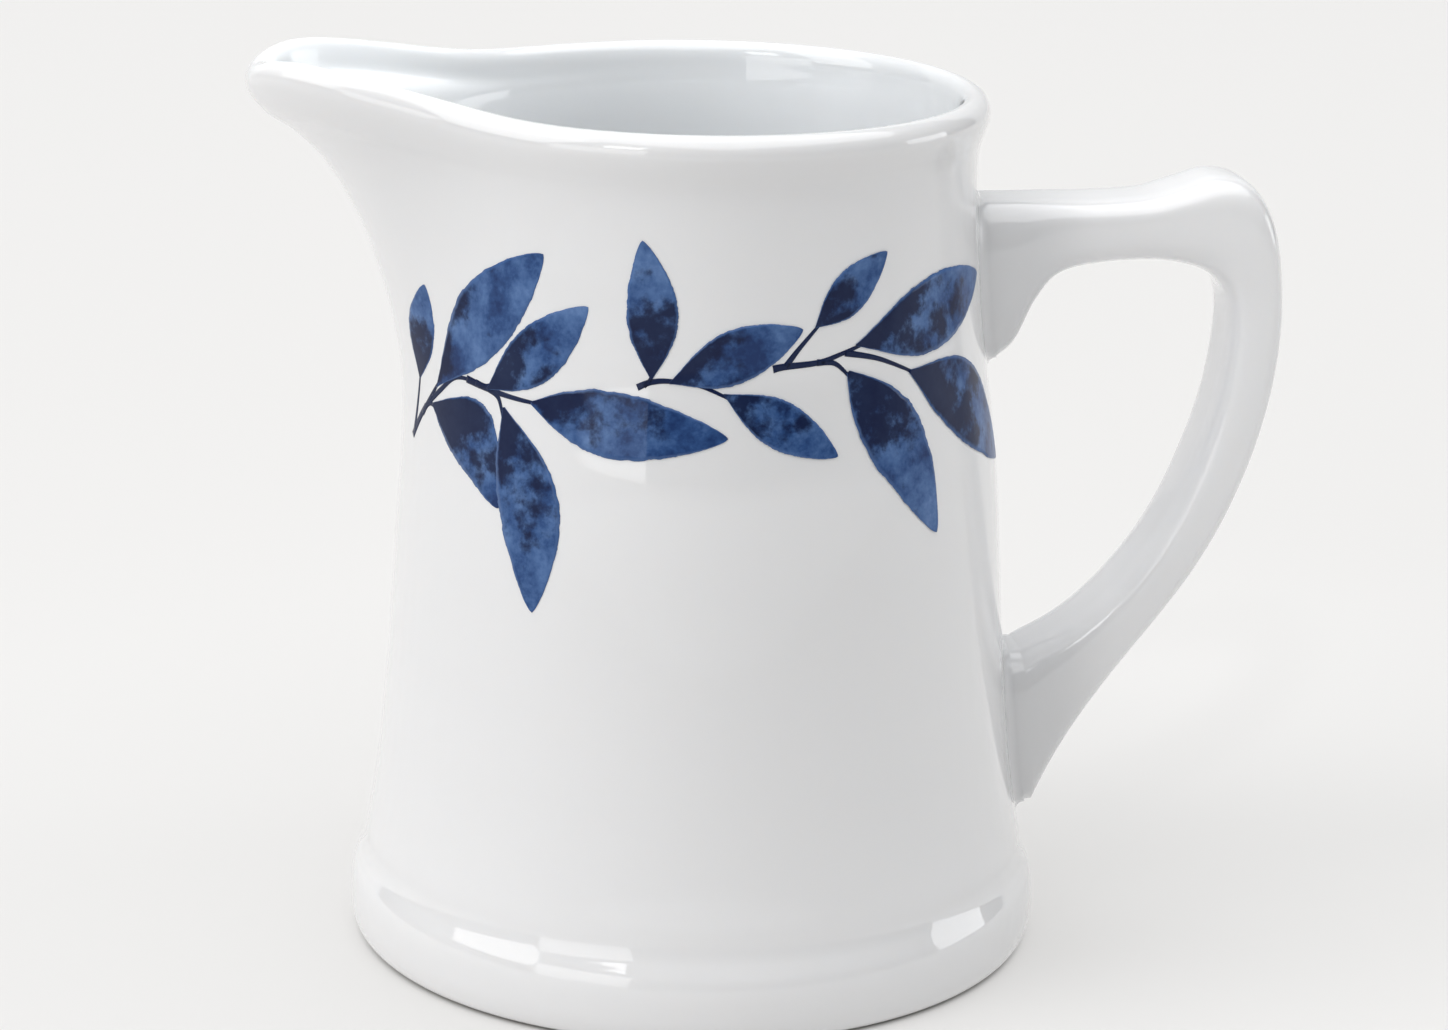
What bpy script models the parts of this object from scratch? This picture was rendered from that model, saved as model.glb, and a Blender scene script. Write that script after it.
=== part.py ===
"""A porcelain cream jug: a slip-cast body with a pulled spout, a cast strap
handle luted on with slip, and printed leafy transfers on both sides.

Lengths are written in millimetres and turned into metres by MM.
+Z is up, the spout points to -X and the handle to +X.
The origin lies on the table under the middle of the whole jug.
"""

import math

import bmesh
import bpy
import numpy as np
from mathutils import Vector
from mathutils.geometry import delaunay_2d_cdt

MM = 0.001

# Overall reach, from the jug's own axis
SPOUT_REACH = 48.4
HANDLE_REACH = 63.3
AXIS_X = (SPOUT_REACH - HANDLE_REACH) / 2

# Body, as radius and height. The outside runs from the foot ring up to the rim.
FOOT_OUTSIDE = [
    (36.2, 0.0),
    (37.1, 0.35),
    (37.75, 1.1),
    (38.1, 2.4),
    (38.15, 4.2),
    (37.9, 6.0),
    (37.3, 7.8),
    (36.8, 9.4),
]
WALL_OUTSIDE = [
    (36.3, 12.0),
    (35.3, 18.0),
    (34.35, 27.0),
    (33.5, 38.0),
    (32.8, 49.0),
    (31.9, 58.0),
    (31.35, 62.0),
    (30.8, 66.0),
    (30.3, 70.0),
    (29.9, 75.0),
    (29.5, 80.0),
    (29.3, 84.0),
    (29.3, 87.0),
]
RIM_BEAD = [
    (29.45, 88.7),
    (29.95, 90.1),
    (30.35, 91.6),
    (30.2, 92.9),
    (29.6, 93.8),
    (28.7, 94.15),
    (27.8, 93.8),
    (27.25, 92.9),
    (27.0, 91.4),
]
INSIDE = [
    (26.6, 88.5),
    (26.5, 85.0),
    (26.65, 80.0),
    (27.0, 75.0),
    (27.8, 66.0),
    (28.9, 58.0),
    (29.8, 49.0),
    (30.5, 38.0),
    (31.2, 24.0),
    (31.2, 14.5),
    (30.3, 9.6),
    (27.4, 6.4),
    (22.5, 5.1),
    (12.0, 4.8),
]
UNDERSIDE = [
    (14.0, 2.2),
    (29.5, 2.2),
    (31.6, 1.7),
    (32.5, 0.6),
    (33.0, 0.0),
]
FLOOR_TOP = 4.8
RECESS_HEIGHT = 2.2
WALL_TOP = max(height for radius, height in RIM_BEAD)
BODY_SEGMENTS = 72
SPOUT_CROWDING = 0.35  # how far the segments are drawn together at the spout

# Spout: how far it is pulled out at each height, and how wide it spreads
SPOUT_PULL = [
    (53.0, 0.0),
    (62.0, 0.9),
    (70.0, 3.1),
    (76.0, 5.3),
    (81.0, 7.7),
    (85.0, 10.6),
    (88.0, 14.2),
    (90.0, 17.3),
    (92.0, 18.1),
    (94.2, 18.0),
]
INSIDE_PULL_LAG = 2.2  # the inside follows the outside this much higher up
SPOUT_SPREADS = [(0.8, 21.0), (0.2, 42.0)]  # share and angle, in degrees
LIFT_START = 80.0
SPOUT_LIFT = (4.5, 27.0)  # height and angle of the rise of the rim
TIP_DIP = (1.9, 7.0)  # height and angle of the dip at the very tip

# Handle, as outer point, inner point and width. Points are (x, z) from the axis.
HANDLE_STATIONS = [
    ((32.2, 82.1), (32.2, 65.0), 12.8),
    ((33.6, 82.1), (33.8, 66.6), 12.5),
    ((35.4, 82.1), (35.7, 70.9), 12.2),
    ((38.0, 82.1), (38.2, 74.0), 12.0),
    ((42.5, 82.1), (42.6, 75.2), 12.0),
    ((48.0, 82.5), (48.2, 75.5), 12.0),
    ((51.8, 83.6), (52.0, 75.0), 12.2),
    ((55.3, 84.6), (54.7, 74.0), 12.4),
    ((58.8, 83.9), (56.2, 72.5), 12.5),
    ((61.3, 80.9), (56.9, 71.0), 12.4),
    ((62.7, 76.2), (57.2, 69.0), 12.1),
    ((63.3, 69.0), (57.1, 66.0), 12.0),
    ((62.8, 62.3), (56.5, 61.3), 12.0),
    ((61.5, 56.1), (55.5, 57.0), 12.0),
    ((59.8, 50.8), (54.0, 52.6), 12.0),
    ((57.5, 45.4), (52.0, 47.7), 12.0),
    ((54.6, 40.2), (49.5, 43.2), 12.0),
    ((51.3, 35.5), (46.4, 39.1), 12.0),
    ((47.9, 31.0), (43.2, 35.8), 12.1),
    ((44.7, 26.6), (40.6, 33.8), 12.3),
    ((41.7, 22.0), (38.6, 32.7), 12.5),
    ((39.3, 17.6), (37.1, 32.0), 12.7),
    ((37.9, 14.2), (36.0, 31.4), 12.9),
]
SECTION_POINTS = 16
SECTION_SQUARENESS = 2.7
HANDLE_STEPS = 2  # rings made for each station

# Slip joints
JOINT_GAP = 0.3
SLIP_THICKNESS = 0.9
SLIP_MARGIN = 0.7
CAP_RINGS = (0.75, 0.45, 0.2)

# Leaf transfers, drawn flat: distance round the wall from the middle of the
# side, and height. A leaf is base, tip, width, bend to the left of its line.
WRAP_RADIUS = 32.0
TRANSFER_GAP = 0.35
TRANSFER_THICKNESS = 0.25
WRAP_STEP = 4.0
LEAF_POINTS = 8
WELD_DISTANCE = 0.02
SPRIGS = {
    "spout_sprig": {
        "leaves": [
            ((-41.3, 64.4), (-39.0, 75.2), 4.9, 0.3),
            ((-37.7, 64.2), (-21.8, 81.0), 7.9, 0.5),
            ((-28.9, 65.9), (-16.1, 76.2), 6.0, -0.5),
            ((-38.4, 62.6), (-25.6, 54.2), 7.4, 2.9),
            ((-26.2, 64.9), (-20.7, 44.1), 7.6, 1.7),
            ((-22.8, 65.7), (-0.6, 63.6), 6.8, -0.2),
        ],
        "stems": [
            ([(-43.0, 58.0), (-40.0, 61.6), (-36.7, 64.3), (-34.0, 66.2), (-31.2, 66.5)], 0.8),
            ([(-32.0, 66.5), (-28.6, 66.1), (-25.2, 65.8), (-20.8, 65.6)], 0.8),
            ([(-42.6, 58.6), (-41.9, 61.6), (-41.0, 66.0)], 0.6),
            ([(-40.4, 61.0), (-38.6, 63.2), (-36.6, 65.6)], 0.7),
            ([(-30.5, 66.4), (-28.8, 66.3), (-27.4, 67.1)], 0.7),
            ([(-39.9, 61.8), (-38.6, 62.5), (-36.9, 62.1)], 0.7),
            ([(-28.4, 66.1), (-26.9, 65.4), (-26.0, 63.4)], 0.7),
        ],
    },
    "middle_sprig": {
        "leaves": [
            ((-8.8, 69.2), (-10.2, 83.4), 5.7, -0.6),
            ((-7.1, 69.0), (7.6, 74.4), 5.5, 0.2),
            ((-1.3, 68.2), (11.3, 61.2), 4.9, 0.1),
        ],
        "stems": [
            ([(-10.3, 68.5), (-8.9, 69.1), (-6.9, 69.3), (-3.6, 68.9), (0.2, 67.3)], 0.7),
            ([(-9.6, 68.7), (-8.9, 69.4), (-8.7, 70.8)], 0.6),
        ],
    },
    "handle_sprig": {
        "leaves": [
            ((8.9, 74.4), (18.5, 81.4), 4.5, 0.1),
            ((13.6, 72.2), (39.0, 75.9), 7.9, 0.0),
            ((21.0, 68.8), (42.5, 55.0), 8.6, 1.6),
            ((12.7, 69.9), (24.1, 51.3), 7.7, 1.2),
        ],
        "stems": [
            ([(4.2, 70.5), (5.5, 70.7), (9.4, 70.9), (12.0, 71.5), (15.4, 72.4)], 0.8),
            ([(5.6, 70.7), (7.2, 72.5), (10.0, 75.2)], 0.7),
            ([(12.6, 71.6), (17.1, 70.5), (22.6, 68.2)], 0.7),
            ([(9.2, 70.9), (11.4, 70.6), (13.4, 68.8)], 0.7),
        ],
    },
}
STEM_END = 0.5  # a stem's width at its end, as a share of its width at its start
LEAF_ROOT = 0.02  # where along its line a leaf's outline starts and ends
BASE_FULLNESS = 0.93  # below 1 the widest place moves towards the base

PORCELAIN = (0.86, 0.87, 0.88, 1.0)
SLIP = (0.84, 0.85, 0.86, 1.0)
COBALT = (0.03, 0.07, 0.22, 1.0)
GLAZE_ROUGHNESS = 0.08


def clear_scene():
    for old in list(bpy.data.objects):
        bpy.data.objects.remove(old, do_unlink=True)


def make_material(name, colour):
    material = bpy.data.materials.new(name)
    material.use_nodes = True
    shader = material.node_tree.nodes["Principled BSDF"]
    shader.inputs["Base Color"].default_value = colour
    shader.inputs["Roughness"].default_value = GLAZE_ROUGHNESS
    shader.inputs["Metallic"].default_value = 0.0
    material.diffuse_color = colour
    return material


def make_object(name, points, faces, material):
    """One named object on the jug's axis, from points in millimetres."""
    mesh = bpy.data.meshes.new(name)
    mesh.from_pydata([Vector(p) * MM for p in points], [], faces)
    shell = bmesh.new()
    shell.from_mesh(mesh)
    bmesh.ops.recalc_face_normals(shell, faces=shell.faces)
    shell.to_mesh(mesh)
    shell.free()
    mesh.materials.append(material)
    mesh.shade_smooth()
    mesh.set_sharp_from_angle(angle=math.radians(40))
    piece = bpy.data.objects.new(name, mesh)
    piece.location.x = AXIS_X * MM
    bpy.context.scene.collection.objects.link(piece)
    return piece


def along_columns(rows):
    table = np.array(rows)
    return table[:, 0], table[:, 1]


def spout_share(angle):
    """How much of the spout is felt at an angle from its middle, in radians."""
    degrees = math.degrees(abs(angle))
    return sum(share * math.exp(-((degrees / spread) ** 2)) for share, spread in SPOUT_SPREADS)


def spout_pull(height):
    heights, pulls = along_columns(SPOUT_PULL)
    return float(np.interp(height, heights, pulls))


def rim_lift(angle, height):
    """Extra height near the rim, where the spout rises."""
    degrees = math.degrees(abs(angle))
    share = min(max((height - LIFT_START) / (WALL_TOP - LIFT_START), 0.0), 1.0)
    rise = SPOUT_LIFT[0] * math.exp(-((degrees / SPOUT_LIFT[1]) ** 2))
    dip = TIP_DIP[0] * math.exp(-((degrees / TIP_DIP[1]) ** 2))
    return (rise - dip) * share * share * (3 - 2 * share)


def wall_radius(height, angle):
    """Outside radius at a height; the angle is measured from the spout."""
    radii, heights = along_columns(FOOT_OUTSIDE + WALL_OUTSIDE)
    return float(np.interp(height, heights, radii)) + spout_pull(height) * spout_share(angle)


def body_point(radius, height, angle, lag):
    reach = radius + spout_pull(height - lag) * spout_share(angle)
    lifted = height + rim_lift(angle, height)
    return (-reach * math.cos(angle), -reach * math.sin(angle), lifted)


def jug_body(material):
    outside = FOOT_OUTSIDE + WALL_OUTSIDE + RIM_BEAD
    profile = [(radius, height, 0.0) for radius, height in UNDERSIDE + outside]
    profile += [(radius, height, INSIDE_PULL_LAG) for radius, height in INSIDE]
    points = [(0.0, 0.0, RECESS_HEIGHT)]
    for radius, height, lag in profile:
        for step in range(BODY_SEGMENTS):
            turn = 2 * math.pi * step / BODY_SEGMENTS - math.pi
            angle = turn - SPOUT_CROWDING * math.sin(turn)
            points.append(body_point(radius, height, angle, lag))
    points.append((0.0, 0.0, FLOOR_TOP))
    faces = []
    last = len(points) - 1
    top_ring = 1 + (len(profile) - 1) * BODY_SEGMENTS
    for step in range(BODY_SEGMENTS):
        after = (step + 1) % BODY_SEGMENTS
        faces.append((0, 1 + after, 1 + step))
        faces.append((last, top_ring + step, top_ring + after))
        for row in range(len(profile) - 1):
            low = 1 + row * BODY_SEGMENTS
            high = low + BODY_SEGMENTS
            faces.append((low + step, low + after, high + after, high + step))
    return make_object("jug_body", points, faces, material)


def smooth_through(rows, steps):
    """Rows of numbers with Catmull-Rom rows added between them."""
    table = np.array(rows, float)
    padded = np.vstack([2 * table[0] - table[1], table, 2 * table[-1] - table[-2]])
    out = []
    for k in range(1, len(padded) - 2):
        a, b, c, d = padded[k - 1 : k + 3]
        for step in range(steps):
            t = step / steps
            pull = (c - a) * t + (2 * a - 5 * b + 4 * c - d) * t**2
            out.append(b + 0.5 * (pull + (3 * b - a - 3 * c + d) * t**3))
    out.append(table[-1])
    return np.array(out)


def rounded_power(value):
    return math.copysign(abs(value) ** (2 / SECTION_SQUARENESS), value)


def section_ring(outer_x, outer_z, inner_x, inner_z, width):
    """A rounded-square section of the strap between its outer and inner points."""
    middle = Vector(((outer_x + inner_x) / 2, 0, (outer_z + inner_z) / 2))
    half = Vector((outer_x, 0, outer_z)) - middle
    across = Vector((0, width / 2, 0))
    ring = []
    for step in range(SECTION_POINTS):
        turn = 2 * math.pi * step / SECTION_POINTS
        ring.append(middle + half * rounded_power(math.cos(turn)) + across * rounded_power(math.sin(turn)))
    return ring


def on_wall(point, gap):
    """The point slid along X until it stands this far off the wall."""
    radius = wall_radius(point.z, math.pi) + gap
    return Vector((math.sqrt(radius**2 - point.y**2), point.y, point.z))


def wall_patch(ring, gap):
    """The ring laid on the wall with smaller rings inside it, then its middle."""
    middle = sum(ring, Vector()) / len(ring)
    rows = [[on_wall(p, gap) for p in ring]]
    for share in CAP_RINGS:
        rows.append([on_wall(middle + (p - middle) * share, gap) for p in ring])
    return rows, on_wall(middle, gap)


def loft(rows, start, end):
    """Faces of a closed body from rings of equal count and its two end points."""
    count = len(rows[0])
    points = [start] + [p for row in rows for p in row] + [end]
    faces = []
    for step in range(count):
        after = (step + 1) % count
        top = 1 + (len(rows) - 1) * count
        faces.append((0, 1 + after, 1 + step))
        faces.append((len(points) - 1, top + step, top + after))
        for row in range(len(rows) - 1):
            low = 1 + row * count
            high = low + count
            faces.append((low + step, low + after, high + after, high + step))
    return points, faces


def handle(material):
    flat = [(*outer, *inner, width) for outer, inner, width in HANDLE_STATIONS]
    rings = [section_ring(*row) for row in smooth_through(flat, HANDLE_STEPS)]
    off_wall = 2 * JOINT_GAP + SLIP_THICKNESS
    upper_rows, upper_middle = wall_patch(rings[0], off_wall)
    lower_rows, lower_middle = wall_patch(rings[-1], off_wall)
    rows = upper_rows[::-1] + rings[1:-1] + lower_rows
    points, faces = loft(rows, upper_middle, lower_middle)
    return make_object("handle", points, faces, material)


def slip_joint(name, station, material):
    """A pad of slip between the wall and the end of the handle."""
    outer, inner, width = station
    ring = section_ring(*outer, *inner, width)
    middle = sum(ring, Vector()) / len(ring)
    reach = max((p - middle).length for p in ring)
    ring = [middle + (p - middle) * (1 + SLIP_MARGIN / reach) for p in ring]
    near_rows, near_middle = wall_patch(ring, JOINT_GAP)
    far_rows, far_middle = wall_patch(ring, JOINT_GAP + SLIP_THICKNESS)
    rows = near_rows[::-1] + far_rows
    points, faces = loft(rows, near_middle, far_middle)
    return make_object(name, points, faces, material)


def leaf_outline(base, tip, width, bend):
    """A pointed oval along a line that bows to one side."""
    start, line = np.array(base), np.array(tip) - np.array(base)
    aside = np.array((-line[1], line[0])) / np.hypot(*line)
    upper, lower = [], []
    for step in range(LEAF_POINTS + 1):
        t = LEAF_ROOT + (1 - LEAF_ROOT) * step / LEAF_POINTS
        spine = start + line * t + aside * bend * math.sin(math.pi * t)
        half = width / 2 * math.sin(math.pi * t**BASE_FULLNESS)
        upper.append(spine + aside * half)
        lower.append(spine - aside * half)
    return lower + upper[-2::-1]


def stem_outline(route, width):
    """A tapering stroke along a smooth route."""
    spine = smooth_through(route, 2)
    along = np.gradient(spine, axis=0)
    aside = np.stack([-along[:, 1], along[:, 0]], axis=1)
    aside /= np.hypot(aside[:, 0], aside[:, 1])[:, None]
    half = np.linspace(width, width * STEM_END, len(spine))[:, None] / 2
    left, right = spine + aside * half, spine - aside * half
    return list(right) + list(left[::-1])


def flat_sprig(sprig):
    """The sprig's leaves and stems merged into one flat mesh of triangles."""
    outlines = [leaf_outline(*leaf) for leaf in sprig["leaves"]]
    outlines += [stem_outline(*stem) for stem in sprig["stems"]]
    points, shapes = [], []
    for outline in outlines:
        shapes.append(list(range(len(points), len(points) + len(outline))))
        points += [Vector(p) for p in outline]
    table = np.array(points)
    low, high = table.min(axis=0), table.max(axis=0)
    lines = []
    for step in range(math.ceil(low[0] / WRAP_STEP), math.floor(high[0] / WRAP_STEP) + 1):
        lines.append((len(points), len(points) + 1))
        points.append(Vector((step * WRAP_STEP, low[1] - 1)))
        points.append(Vector((step * WRAP_STEP, high[1] + 1)))
    flat, _, faces, _, _, owners = delaunay_2d_cdt(points, lines, shapes, 0, WELD_DISTANCE, True)
    kept = [face for face, owner in zip(faces, owners) if owner]
    used = sorted({corner for face in kept for corner in face})
    renumber = {old: new for new, old in enumerate(used)}
    return [flat[k] for k in used], [tuple(renumber[k] for k in face) for face in kept]


def wrapped(point, gap, side):
    """A flat point wrapped onto the wall; side is -1 in front and 1 behind."""
    round_wall = point[0] / WRAP_RADIUS
    reach = wall_radius(point[1], round_wall + math.pi / 2) + gap
    return (reach * math.sin(round_wall), side * reach * math.cos(round_wall), point[1])


def leaf_transfer(name, sprig, side, material):
    """A thin closed film wrapped round the wall, a mirror image behind."""
    flat, faces = flat_sprig(sprig)
    count = len(flat)
    points = [wrapped(p, TRANSFER_GAP + TRANSFER_THICKNESS, side) for p in flat]
    points += [wrapped(p, TRANSFER_GAP, side) for p in flat]
    edges = {}
    for face in faces:
        for k in range(3):
            edges[face[k], face[(k + 1) % 3]] = True
    shell = list(faces)
    shell += [tuple(corner + count for corner in face[::-1]) for face in faces]
    for a, b in edges:
        if (b, a) not in edges:
            shell.append((b, a, a + count, b + count))
    return make_object(name, points, shell, material)


def build():
    clear_scene()
    porcelain = make_material("glazed_porcelain", PORCELAIN)
    handle_porcelain = make_material("glazed_handle_porcelain", PORCELAIN)
    slip = make_material("fired_slip", SLIP)
    cobalt = make_material("cobalt_print", COBALT)
    jug_body(porcelain)
    handle(handle_porcelain)
    slip_joint("upper_slip_joint", HANDLE_STATIONS[0], slip)
    slip_joint("lower_slip_joint", HANDLE_STATIONS[-1], slip)
    for side_name, side in (("front", -1), ("back", 1)):
        for sprig_name, sprig in SPRIGS.items():
            leaf_transfer(f"{side_name}_{sprig_name}", sprig, side, cobalt)


build()
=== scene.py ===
import math

import bmesh
import bpy
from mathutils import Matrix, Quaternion, Vector
from mathutils.bvhtree import BVHTree


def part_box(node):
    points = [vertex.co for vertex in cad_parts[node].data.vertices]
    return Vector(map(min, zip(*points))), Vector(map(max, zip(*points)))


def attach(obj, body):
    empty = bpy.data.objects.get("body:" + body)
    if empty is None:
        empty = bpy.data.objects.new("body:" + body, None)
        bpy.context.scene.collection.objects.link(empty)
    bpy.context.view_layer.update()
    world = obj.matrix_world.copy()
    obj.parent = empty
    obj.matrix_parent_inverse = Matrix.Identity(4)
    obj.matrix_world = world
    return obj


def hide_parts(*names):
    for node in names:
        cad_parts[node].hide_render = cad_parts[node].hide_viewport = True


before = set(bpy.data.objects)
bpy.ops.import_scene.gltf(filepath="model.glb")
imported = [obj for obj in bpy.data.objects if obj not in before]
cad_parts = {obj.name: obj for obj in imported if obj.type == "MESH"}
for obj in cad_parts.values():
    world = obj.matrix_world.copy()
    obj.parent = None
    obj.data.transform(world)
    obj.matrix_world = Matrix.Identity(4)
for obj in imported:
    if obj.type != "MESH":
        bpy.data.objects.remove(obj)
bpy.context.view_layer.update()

mm = 0.001

# The jug's own axis stands this far along X, read from the body's box
bodyLow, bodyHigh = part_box("jug_body")
bandRadius = (bodyHigh.y - bodyLow.y) / 2
axisX = bodyHigh.x - bandRadius


def feed(tree, socket, value):
    if value is None:
        return
    if isinstance(value, bpy.types.NodeSocket):
        tree.links.new(value, socket)
    else:
        socket.default_value = value


# Values go to the node's inputs in order; None leaves one alone
def addNode(tree, kind, values=(), **settings):
    node = tree.nodes.new(kind)
    for name, value in settings.items():
        setattr(node, name, value)
    sockets = [s for s in node.inputs if s.enabled]
    for socket, value in zip(sockets, values):
        feed(tree, socket, value)
    return node


# As addNode, with the inputs given by their labels
def addLabelled(tree, kind, values, **settings):
    node = addNode(tree, kind, **settings)
    for label, value in values.items():
        feed(tree, node.inputs[label], value)
    return node


def calc(tree, operation, a, b=None):
    return addNode(tree, "ShaderNodeMath", (a, b), operation=operation).outputs[0]


def calcVector(tree, operation, a, b=None):
    node = tree.nodes.new("ShaderNodeVectorMath")
    node.operation = operation
    feed(tree, node.inputs[0], a)
    feed(tree, node.inputs["Scale"] if operation == "SCALE" else node.inputs[1], b)
    return node.outputs[1] if operation == "LENGTH" else node.outputs[0]


def joinXyz(tree, x, y, z):
    return addNode(tree, "ShaderNodeCombineXYZ", (x, y, z)).outputs[0]


def splitXyz(tree, vector):
    return addNode(tree, "ShaderNodeSeparateXYZ", (vector,)).outputs


def spread(tree, value, low, high, newLow=0.0, newHigh=1.0, kind="LINEAR"):
    values = {"Value": value, "From Min": low, "From Max": high, "To Min": newLow, "To Max": newHigh}
    return addLabelled(tree, "ShaderNodeMapRange", values, interpolation_type=kind).outputs[0]


# 1 in the middle, fading over the width
def bell(tree, distance, width):
    share = calc(tree, "DIVIDE", distance, width)
    return calc(tree, "EXPONENT", calc(tree, "MULTIPLY", calc(tree, "MULTIPLY", share, share), -1.0))


# A geometry tree with a Geometry input and output, and these named inputs
def newTree(name, inputs):
    tree = bpy.data.node_groups.new(name, "GeometryNodeTree")
    tree.interface.new_socket("Geometry", in_out="INPUT", socket_type="NodeSocketGeometry")
    for label, kind in inputs:
        tree.interface.new_socket(label, in_out="INPUT", socket_type="NodeSocket" + kind)
    tree.interface.new_socket("Geometry", in_out="OUTPUT", socket_type="NodeSocketGeometry")
    start = tree.nodes.new("NodeGroupInput")
    return tree, {s.name: s for s in start.outputs if s.name}


def endTree(tree, geometry, material):
    smooth = addNode(tree, "GeometryNodeSetShadeSmooth", (geometry,)).outputs[0]
    whole = addNode(tree, "GeometryNodeRealizeInstances", (smooth,)).outputs[0]
    painted = addLabelled(tree, "GeometryNodeSetMaterial", {"Geometry": whole, "Material": material})
    finish = tree.nodes.new("NodeGroupOutput")
    tree.links.new(painted.outputs[0], finish.inputs[0])


def linkNew(name, data):
    piece = bpy.data.objects.new(name, data)
    bpy.context.scene.collection.objects.link(piece)
    return piece


# Runs the tree on the source object and keeps the result as a plain mesh
def growPiece(name, source, tree, values):
    grower = source.modifiers.new(name, "NODES")
    grower.node_group = tree
    for item in tree.interface.items_tree:
        if item.in_out == "INPUT" and item.name in values:
            grower[item.identifier] = values[item.name]
    bpy.context.view_layer.update()
    depsgraph = bpy.context.evaluated_depsgraph_get()
    mesh = bpy.data.meshes.new_from_object(source.evaluated_get(depsgraph), depsgraph=depsgraph)
    source.modifiers.remove(grower)
    bpy.data.objects.remove(source)
    mesh.name = name
    return linkNew(name, mesh)


def named(tree, name, kind="FLOAT"):
    node = addLabelled(tree, "GeometryNodeInputNamedAttribute", {"Name": name}, data_type=kind)
    return node.outputs["Attribute"]


def store(tree, geometry, name, value):
    values = {"Geometry": geometry, "Name": name, "Value": value}
    kinds = {"data_type": "FLOAT", "domain": "POINT"}
    return addLabelled(tree, "GeometryNodeStoreNamedAttribute", values, **kinds).outputs[0]


def moved(tree, geometry, position):
    values = {"Geometry": geometry, "Position": position}
    return addLabelled(tree, "GeometryNodeSetPosition", values).outputs[0]


def joined(tree, *parts):
    node = tree.nodes.new("GeometryNodeJoinGeometry")
    for part in reversed(parts):
        tree.links.new(part, node.inputs[0])
    return node.outputs[0]


def sewn(tree, geometry, distance):
    values = {"Geometry": geometry, "Distance": distance}
    return addLabelled(tree, "GeometryNodeMergeByDistance", values).outputs[0]


# A flat sheet, one metre long, with this many points along it and across it
def flatSheet(tree, width, along, across):
    values = {"Size X": 1.0, "Size Y": width, "Vertices X": along, "Vertices Y": across}
    return addLabelled(tree, "GeometryNodeMeshGrid", values).outputs["Mesh"]


# A curve rounded through its points, with this many steps from each to the next
def roundedCurve(tree, curve, steps):
    line = addNode(tree, "GeometryNodeCurveSplineType", (curve,), spline_type="CATMULL_ROM").outputs[0]
    values = {"Geometry": line, "Resolution": steps}
    return addLabelled(tree, "GeometryNodeSetSplineResolution", values).outputs[0]


def shapeOf(tree, thing):
    node = addLabelled(tree, "GeometryNodeObjectInfo", {"Object": thing}, transform_space="ORIGINAL")
    return node.outputs["Geometry"]


glaze = {
    "porcelainColour": (0.885, 0.886, 0.893),
    "shadeColour": (0.872, 0.875, 0.884),
    "cloudSize": 22.0,
    "cloudRange": (0.35, 0.65),
    "cloudShare": 0.5,
    # a darker, cooler copy of the glaze for the inside: painted shade in the hollow
    "insideShadeColour": (0.856, 0.875, 0.891),
    "bisqueColour": (0.74, 0.72, 0.68),
    "bisqueRoughness": 0.8,
    "bisqueHeight": (0.0003, 0.0005),  # the glaze starts between these heights
    "gritSize": 1600.0,
    "gritDetail": 3.0,
    "gritDepth": 0.0003,
    # the handle's roots and its joints are painted darker than its arms within this distance of the wall, as
    # painted shade where they meet the wall
    "rootShadeColour": (0.748, 0.752, 0.762),
    "rootShadeReach": (0.004, 0.013),
    # the radius of the wall at the table, and how much it loses with height
    "wallRadius": 0.0369,
    "wallLean": 0.091,
    "scatterShare": 0.12,
    "scatterColour": (1.0, 0.9, 0.8),
    "scatterDepth": 0.0012,
    "roughness": 0.07,
    "refraction": 1.5,
    "specular": 0.1,
    "coatRoughness": 0.035,
    "coatRefraction": 1.56,
    "rippleSize": 95.0,
    "rippleDetail": 1.5,
    "rippleRoughness": 0.4,
    "rippleStrength": 0.6,
    "rippleDepth": 0.00002,
    "pinholeSize": 210.0,
    "pinholeEdge": (0.035, 0.06),
    "pinholeDepth": 0.6,
    "pinholePatch": 60.0,
    "pinholeRarity": (0.66, 0.70),
}

wash = {
    "colours": [
        (0.0, (0.125, 0.225, 0.455)), (0.35, (0.075, 0.155, 0.355)),
        (0.7, (0.030, 0.080, 0.230)), (1.0, (0.013, 0.038, 0.135)),
    ],
    "deepBlue": (0.0045, 0.0095, 0.0450),
    "rimBlue": (0.085, 0.170, 0.390),
    "leafShift": 0.031,  # how far the clouds move on from one leaf to the next
    "leafSkew": 1.7,
    # a grain is a noise's detail, roughness and distortion
    "cloudSize": 170.0,
    "cloudGrain": (5.0, 0.62),
    "cloudRange": (0.33, 0.67),
    "blotchSize": 235.0,
    "blotchGrain": (8.0, 0.6, 0.1),
    "blotchSwing": 2.9,
    "speckSize": 1500.0,
    "speckGrain": (2.0, 0.6),
    "speckRange": (0.3, 0.7),
    "speckInCloud": 0.10,
    "speckInPool": 0.05,
    "speckInRim": 0.02,
    "poolSlope": 1.1,
    "poolShare": 0.93,
    "shore": 0.15,  # softness of a dark pool's edge
    "shoreStretch": 2.2,  # how much softer it is on its dark side
    "rimRange": (0.87, 0.98),
    "rimShare": 0.8,
    "gloss": 0.25,
    "roughness": 0.3,
    "specular": 0.05,
}


def newMaterial(name):
    material = bpy.data.materials.new(name)
    material.use_nodes = True
    tree = material.node_tree
    return material, tree, tree.nodes["Principled BSDF"]


# The clear coat over the clay or the print
def glazeCoat(shader, roughness, specular, coat):
    values = {
        "Roughness": roughness, "IOR": glaze["refraction"], "Specular IOR Level": specular,
        "Coat Weight": coat, "Coat Roughness": glaze["coatRoughness"], "Coat IOR": glaze["coatRefraction"],
    }
    for label, value in values.items():
        shader.inputs[label].default_value = value


def noise(tree, place, scale, detail=2.0, roughness=0.5, distortion=0.0):
    values = {
        "Vector": place, "Scale": scale, "Detail": detail,
        "Roughness": roughness, "Distortion": distortion,
    }
    return addLabelled(tree, "ShaderNodeTexNoise", values).outputs[0]


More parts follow.
